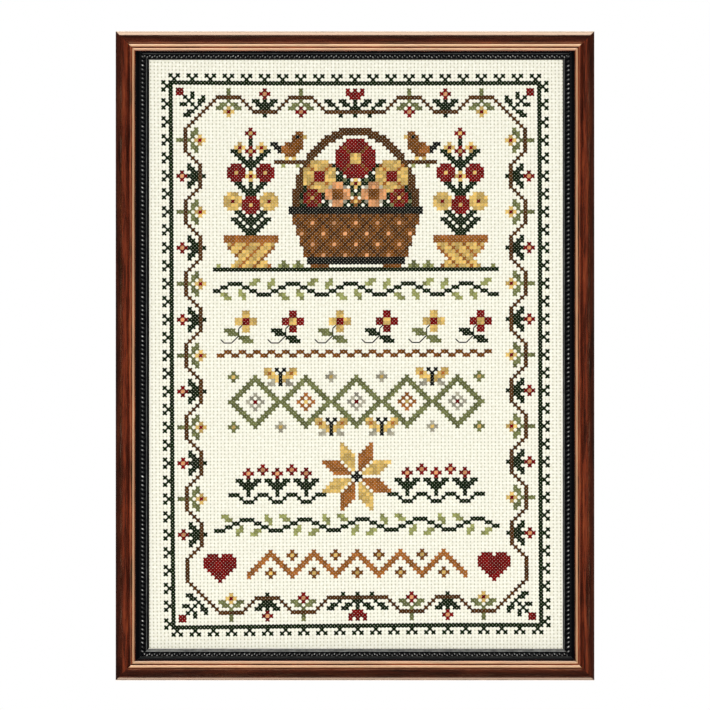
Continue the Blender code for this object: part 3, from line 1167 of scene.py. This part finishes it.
# %% Work the two beds of tulips
tulip_bed_leaf = {(2, 111), (3, 111), (0, 111), (0, 112), (1, 112), (2, 112), (0, 113), (1, 113)}
tulip_bed_leaf = both_ways(tulip_bed_leaf | {(0, 114), (0, 115)})
wave_row = {0: 117, 1: 117, 2: 116, 3: 115, 4: 115}
bed = {(s, wave_row[min(s % 8, 8 - s % 8)]) for s in range(-13, 14)}
for place in (-8, 0, 8):
    bed |= moved(tulip_bed_leaf, place)
for middle in (29, LAST_COLUMN - 29):
    work("leaf_green", moved(bed, middle))
    for place, row in ((-8, 109), (-4, 108), (0, 109), (4, 108), (8, 109)):
        work("red", posy(middle + place, row))
        work("cream", {(middle + place, row)})
print("two tulip beds of", len(bed), "crosses")

# %% [markdown]
# ## The upper picture
# The top of the sampler holds a traditional sampler subject: a broad flower basket between two
# urns of tall hollyhocks, with a pair of birds. Basket and urns are solid shapes given by a rule for
# their half width at each row, and the flowers are one round patch in several sizes and colours.
# The birds are too small for a rule and are charted one by one.

# %% Work the basket
RIM_ROW = 35
BASKET_FOOT = 49
RIM_HALF = 18

work("charcoal", block(MIDDLE - RIM_HALF, RIM_ROW, 2 * RIM_HALF + 1, 2))
for r in range(RIM_ROW + 2, BASKET_FOOT):
    half = RIM_HALF - 1 - (r - RIM_ROW - 2) // 3
    for d in range(-half, half + 1):
        strand = (d + r) % 6 == 0 or (d - r) % 6 == 0
        gap = (d + r) % 6 == 3 and (d - r) % 6 == 3
        chart[(MIDDLE + d, r)] = "vine_brown" if strand else "cream" if gap else "rust"
work("charcoal", block(MIDDLE - 13, BASKET_FOOT, 27, 2))
work("rust", mirrored(block(MIDDLE - 12, BASKET_FOOT + 2, 5, 1)))

HANDLE_WIDE = RIM_HALF - 1
HANDLE_TALL = 22
for degrees in range(0, 181):
    turn = math.radians(degrees)
    for thin in (0, 1):
        c = MIDDLE + round((HANDLE_WIDE - thin) * math.cos(turn))
        r = RIM_ROW - round((HANDLE_TALL - thin) * math.sin(turn))
        if r < RIM_ROW:
            chart[(c, r)] = "vine_brown"
print(len(chart), "crosses so far")

# %% Fill the basket with flowers


def rosette(column, row, radius, petal, vein, eye):
    """A round flower: an eight-sided patch with veins along its diagonals and a solid eye."""
    for dc in range(-radius, radius + 1):
        for dr in range(-radius, radius + 1):
            far, near = max(abs(dc), abs(dr)), min(abs(dc), abs(dr))
            if far + near > 1.5 * radius:
                continue
            thread = eye if far <= radius // 3 else vein if far == near else petal
            chart[(column + dc, row + dr)] = thread


def heap_half(row):
    """Half the width of the heap of leaves at a row."""
    return round(15.5 * math.sqrt(max(0.0, 1 - ((RIM_ROW - row) / 13.5) ** 2)))


for r in range(RIM_ROW - 13, RIM_ROW):
    for d in range(-heap_half(r), heap_half(r) + 1):
        if (abs(d) + 2 * r) % 5:
            chart[(MIDDLE + d, r)] = "sage" if (abs(d) - r) % 6 == 0 else "leaf_green"
rosette(MIDDLE, 21, 5, "red", "rust", "gold")
for place in (-10, 10):
    rosette(MIDDLE + place, 26, 4, "gold", "amber", "red")
for place in (-5, 5):
    rosette(MIDDLE + place, 31, 3, "cream", "grey", "rust")
for place in (-12, 12):
    rosette(MIDDLE + place, 32, 2, "red", "rust", "gold")
rosette(MIDDLE, 28, 1, "gold", "gold", "red")
rosette(MIDDLE, 33, 1, "amber", "amber", "gold")
print(len(chart), "crosses so far")

# %% Work the urns of hollyhocks
URN_COLUMN = 22

stalk = {(URN_COLUMN, r) for r in range(14, 43)}
big_leaf = both_ways({(1, 0), (2, -1), (3, -1), (2, 0), (3, -2), (4, -2), (4, -3), (1, 1), (5, -3)})
work("leaf_green", mirrored(stalk))
for row in (22, 30, 38, 41):
    work("leaf_green" if row % 4 else "sage", mirrored(moved(big_leaf, URN_COLUMN, row)))
blooms = (
    (0, 14, 1, "red", "gold"),
    (-3, 18, 1, "gold", "red"),
    (3, 18, 1, "gold", "red"),
    (0, 19, 1, "red", "gold"),
    (-4, 25, 2, "red", "gold"),
    (4, 25, 2, "red", "gold"),
    (0, 26, 1, "gold", "red"),
    (-5, 33, 2, "gold", "red"),
    (5, 33, 2, "gold", "red"),
    (0, 34, 2, "red", "gold"),
)
for place, row, radius, petal, eye in blooms:
    rosette(URN_COLUMN + place, row, radius, petal, petal, eye)
    rosette(LAST_COLUMN - URN_COLUMN - place, row, radius, petal, petal, eye)
    work(eye, mirrored({(URN_COLUMN + place, row)}))
work("amber", mirrored(block(URN_COLUMN - 7, 43, 15, 2)))
for r in range(45, 52):
    half = (6, 6, 5, 4, 3, 4, 5)[r - 45]
    work("gold", mirrored({(URN_COLUMN + d, r) for d in range(-half, half + 1)}))
    work("amber", mirrored({(URN_COLUMN + d, r) for d in range(-half, half + 1) if (d + r) % 4 == 0}))
print(len(chart), "crosses so far")

# %% Work the birds and the ground
bird = (
    ".......rr.",
    "......rkry",
    "......rrr.",
    "kk..rrrrr.",
    ".kkaarrrr.",
    "..kaaarr..",
    "....rrr...",
    "....y.y...",
    ".bbbbbbbb.",
    "...l...l..",
)
work_rows(bird, 28, 14)
work_rows(bird, LAST_COLUMN - 37, 14, flipped=True)
work("leaf_green", {(c, 52) for c in range(12, 91)})
work("light_green", mirrored({(c, 51) for c in (13, 30, 32, 34, 36)}))
work("sage", mirrored({(c, 51) for c in (31, 35)} | {(31, 50), (35, 50)}))
print(len(chart), "crosses so far")

# %% [markdown]
# ## The middle and the foot
# Below the zigzag runs a chain of sage lozenges, the oldest of sampler patterns, with a small star
# or posy in each and butterflies in the gaps. An eight-pointed star in gold and brown stands between
# the tulip beds, and a chevron band runs between two hearts at the foot.

# %% Work the lozenge chain
LOZENGE_ROW = 89
LOZENGE_HALF = 7
LOZENGE_STEP = 14

small_star = {(0, 0), (1, 1), (-1, 1), (1, -1), (-1, -1), (2, 0), (-2, 0), (0, 2), (0, -2)}
lozenge_places = [MIDDLE + LOZENGE_STEP * n for n in range(-2, 3)]
for number, middle in enumerate(lozenge_places):
    for dc in range(-LOZENGE_HALF, LOZENGE_HALF + 1):
        for dr in range(-LOZENGE_HALF, LOZENGE_HALF + 1):
            if abs(dc) + abs(dr) in (LOZENGE_HALF, LOZENGE_HALF - 1):
                chart[(middle + dc, LOZENGE_ROW + dr)] = "sage"
    if number % 2:
        work("amber", moved(small_star, middle, LOZENGE_ROW))
        work("gold", {(middle, LOZENGE_ROW)})
    else:
        work("grey", moved(small_star, middle, LOZENGE_ROW))
        work("red", {(middle, LOZENGE_ROW)})
butterfly = (
    "yy.k.k.yy",
    "yay.k.yay",
    ".yyykyyy.",
    "..eykye..",
    ".ee.k.ee.",
)
for middle in (30, LAST_COLUMN - 30):
    work_rows(butterfly, middle - 4, 80)
for middle in (44, LAST_COLUMN - 44):
    work_rows(butterfly, middle - 4, 94)
plus = {(0, 0), (1, 0), (-1, 0), (0, 1), (0, -1)}
for middle, row, thread in ((44, 82, "grey"), (30, 96, "grey"), (17, 82, "sage"), (17, 96, "sage")):
    work(thread, mirrored(moved(plus, middle, row)))
    work("gold", mirrored({(middle, row)}))
print(len(chart), "crosses so far")

# %% Work the eight-pointed star
STAR_ROW = 110
STAR_WIDE = 4
STAR_LONG = 5

for near in range(1, STAR_WIDE + 1):
    for far in range(near + 1, near + STAR_LONG + 1):
        for east in (-1, 1):
            for south in (-1, 1):
                tall_point = (MIDDLE + east * near, STAR_ROW + south * far)
                wide_point = (MIDDLE + east * far, STAR_ROW + south * near)
                chart[tall_point] = "gold" if east * south > 0 else "amber"
                chart[wide_point] = "amber" if east * south > 0 else "gold"
work("charcoal", {(MIDDLE, STAR_ROW)} | posy(MIDDLE, STAR_ROW))
print(len(chart), "crosses so far")

# %% Work the hearts and the chevron band
heart = (
    ".hhh.hhh.",
    "hhhhhhhhh",
    "hhhhhhhhh",
    "hhhhhhhhh",
    ".hhhhhhh.",
    "..hhhhh..",
    "...hhh...",
    "....h....",
)
for left in (9, LAST_COLUMN - 17):
    work_rows(heart, left, 132)

CHEVRON_HALF = 6
for c in range(21, LAST_COLUMN - 20):
    from_peak = abs((c - MIDDLE + CHEVRON_HALF) % (2 * CHEVRON_HALF) - CHEVRON_HALF)
    for thick in (0, 1):
        chart[(c, 131 + from_peak + thick)] = "amber"
    if from_peak == 0:
        work("rust", moved(plus, c, 137))
        work("gold", {(c, 137)})
    if from_peak == CHEVRON_HALF and 21 < c < LAST_COLUMN - 21:
        work("rust", moved(plus, c, 132))
        work("gold", {(c, 132)})
print(len(chart), "crosses in the whole chart")

# %% [markdown]
# ## One cross stitch
# A cross is two legs from hole to hole, and every upper leg leans the same way, here towards the
# upper right. The thread is two strands of floss, so each leg is a pair of strands that lie side by
# side and close up where they dive into the holes. A strand is a four-sided tube: a small ring,
# extruded from step to step along the leg and capped at both ends. Four sides are enough at this
# size, and keep five thousand crosses light.

# %% Model a cross
STRAND_RADIUS = 0.00028
STRAND_APART = 0.00023
STRAND_DIVE = 0.00022
LOWER_RISE = 0.00012
UPPER_RISE = 0.00042
CROSS_RISE = UPPER_RISE + STRAND_RADIUS

LOWER_LEG = (
    (-0.04, -STRAND_DIVE, 0.4),
    (0.10, LOWER_RISE, 1.0),
    (0.90, LOWER_RISE, 1.0),
    (1.04, -STRAND_DIVE, 0.4),
)
UPPER_LEG = (
    (-0.04, -STRAND_DIVE, 0.4),
    (0.10, LOWER_RISE + 0.00005, 0.9),
    (0.50, UPPER_RISE, 1.1),
    (0.90, LOWER_RISE + 0.00005, 0.9),
    (1.04, -STRAND_DIVE, 0.4),
)


def add_strand(mesh, start, end, steps, side, radius=STRAND_RADIUS):
    """Lay one strand between two holes; each step is a share of the way, a rise and a sideways share."""
    way = Vector(end) - Vector(start)
    beside = way.cross(Vector((0.0, 1.0, 0.0))).normalized() * STRAND_APART * side
    places = [
        Vector(start) + way * share + beside * spread + Vector((0.0, -rise, 0.0))
        for share, rise, spread in steps
    ]
    facing = Matrix.Translation(places[0]) @ way.to_track_quat("Z", "Y").to_matrix().to_4x4()
    ring = bmesh.ops.create_circle(mesh, segments=4, radius=radius, matrix=facing)
    rim = ring["verts"][0].link_edges[:] + ring["verts"][2].link_edges[:]
    for before, after in zip(places, places[1:]):
        grown = bmesh.ops.extrude_edge_only(mesh, edges=rim)
        rim = [e for e in grown["geom"] if isinstance(e, bmesh.types.BMEdge) and e.is_boundary]
        bmesh.ops.translate(mesh, verts=moved_verts(grown), vec=after - before)


cross = bmesh.new()
half_wide, half_tall = SQUARE_WIDE / 2, SQUARE_TALL / 2
for side in (-1, 1):
    add_strand(cross, (-half_wide, 0, half_tall), (half_wide, 0, -half_tall), LOWER_LEG, side)
    add_strand(cross, (-half_wide, 0, -half_tall), (half_wide, 0, half_tall), UPPER_LEG, side)
close_up(cross, sides=4)
print("one cross:", sum(len(f.verts) - 2 for f in cross.faces), "triangles")

# %% [markdown]
# ## The threads
# Stranded cotton has a soft sheen and small changes of tone from stitch to stitch, as more or less
# thread covers the cloth. Each colour is one material made by the same function. The tone of a
# stitch is an attribute that its point carried, and fine noise stands for the fibres. Height above
# the cloth adds painted highlight and shade: a cross is painted lightest on the crest of its upper
# leg and darker towards the holes.

# %% Make a thread's finish
THREAD_COLOURS = {
    "border_green": (8, 27, 2),
    "leaf_green": (6, 25, 2),
    "light_green": (142, 146, 88),
    "sage": (105, 110, 66),
    "vine_brown": (74, 42, 9),
    "rust": (114, 66, 16),
    "amber": (152, 93, 36),
    "charcoal": (9, 12, 10),
    "red": (112, 0, 3),
    "gold": (206, 174, 100),
    "grey": (158, 154, 138),
    "cream": (206, 148, 100),
}
DARK_SHARE = 0.40
LIGHT_SHARE = 1.70


def cotton(name, colour):
    """A stranded cotton of one colour."""
    material, shader = start_finish(f"cotton_{name}", 0.62)
    shader.inputs["Sheen Weight"].default_value = 0.02
    shader.inputs["Sheen Roughness"].default_value = 0.4
    shader.inputs["Specular IOR Level"].default_value = 0.10
    tone = stored(material, "tone")
    place = object_place(material)
    fibres = noise(material, place, 2600.0, 2.0)
    forward = add_node(material, "ShaderNodeSeparateXYZ", Vector=place).outputs["Y"]
    # Painted highlight and shade: the colour is lighter the higher the thread stands above the cloth.
    painted_height_shade = maths(material, "MULTIPLY_ADD", forward, -1.0 / CROSS_RISE, -CLOTH_FRONT / CROSS_RISE)
    painted_height_shade.node.use_clamp = True
    mixed = maths(material, "MULTIPLY", tone, 0.4)
    mixed = maths(material, "MULTIPLY_ADD", fibres, 0.25, mixed)
    mixed = maths(material, "MULTIPLY_ADD", painted_height_shade, 0.42, mixed)
    base = linear(*colour)
    dark = tuple(DARK_SHARE * part for part in base)
    light = tuple(min(1.0, LIGHT_SHARE * part) for part in base)
    shade = colour_ramp(material, mixed, [(0.15, dark), (0.5, base), (0.85, light)])
    feed(shader, "Base Color", shade)
    raise_surface(material, shader, fibres, 0.35, 0.00008)
    return material


cottons = {name: cotton(name, colour) for name, colour in THREAD_COLOURS.items()}
print(len(cottons), "cottons")

# %% [markdown]
# ## Working the chart
# Each thread's crosses become one piece. A seeded random source turns each cross by a degree or so
# and changes its size and tone slightly, in the order of the rows, so the work looks hand made
# and comes out the same each time.

# %% Work all the crosses
hand = random.Random(1953)
for name in THREAD_COLOURS:
    spots = []
    for row, column in sorted((r, c) for (c, r), thread in chart.items() if thread == name):
        plump = hand.uniform(0.94, 1.08)
        turn = (0.0, math.radians(hand.uniform(-1.6, 1.6)), 0.0)
        size = (hand.uniform(0.985, 1.03), plump, hand.uniform(0.985, 1.03))
        spots.append((on_cloth(column, row), turn, size, hand.random()))
    piece = set_down(f"crosses_{name}", cross, spots, cottons[name], 0.000018)
    print(piece.name, len(spots), "crosses")
cross.free()

# %% [markdown]
# ## The outlined stems
# The row of flowers has fine curved stems in backstitch: single straight stitches from hole to
# hole, in charcoal. They are strands like those of the crosses, laid between the corners of
# squares.

# %% Work the backstitched stems
STEM_RADIUS = 0.00029
STEM_TONE = 0.4
STEM_STEPS = ((0.0, -0.0001, 0.0), (0.15, 0.00016, 0.0), (0.85, 0.00016, 0.0), (1.0, -0.0001, 0.0))
stem_holes = (
    (19.5, 67.5), (18.5, 68.5), (18.5, 70.5), (17.5, 71.5), (16.5, 72.5), (14.5, 72.5), (13.5, 71.5)
)

stems = bmesh.new()
stem_tone = stems.verts.layers.float.new("tone")
for n in range(FLOWERS):
    holes = [on_cloth(c + FLOWER_STEP * n, r) for c, r in stem_holes]
    for start, end in zip(holes, holes[1:]):
        add_strand(stems, start, end, STEM_STEPS, 0, STEM_RADIUS)
for v in stems.verts:
    v[stem_tone] = STEM_TONE
close_up(stems, sides=4)
finish_piece("backstitched_stems", stems, cottons["charcoal"], crisp=180.0)

# %% [markdown]
# ## The plain solids' box
# The box of the plain solids is printed at the end.

# %% Print the box of the plain solids
print("cad box", [list(c) for c in cad_box])
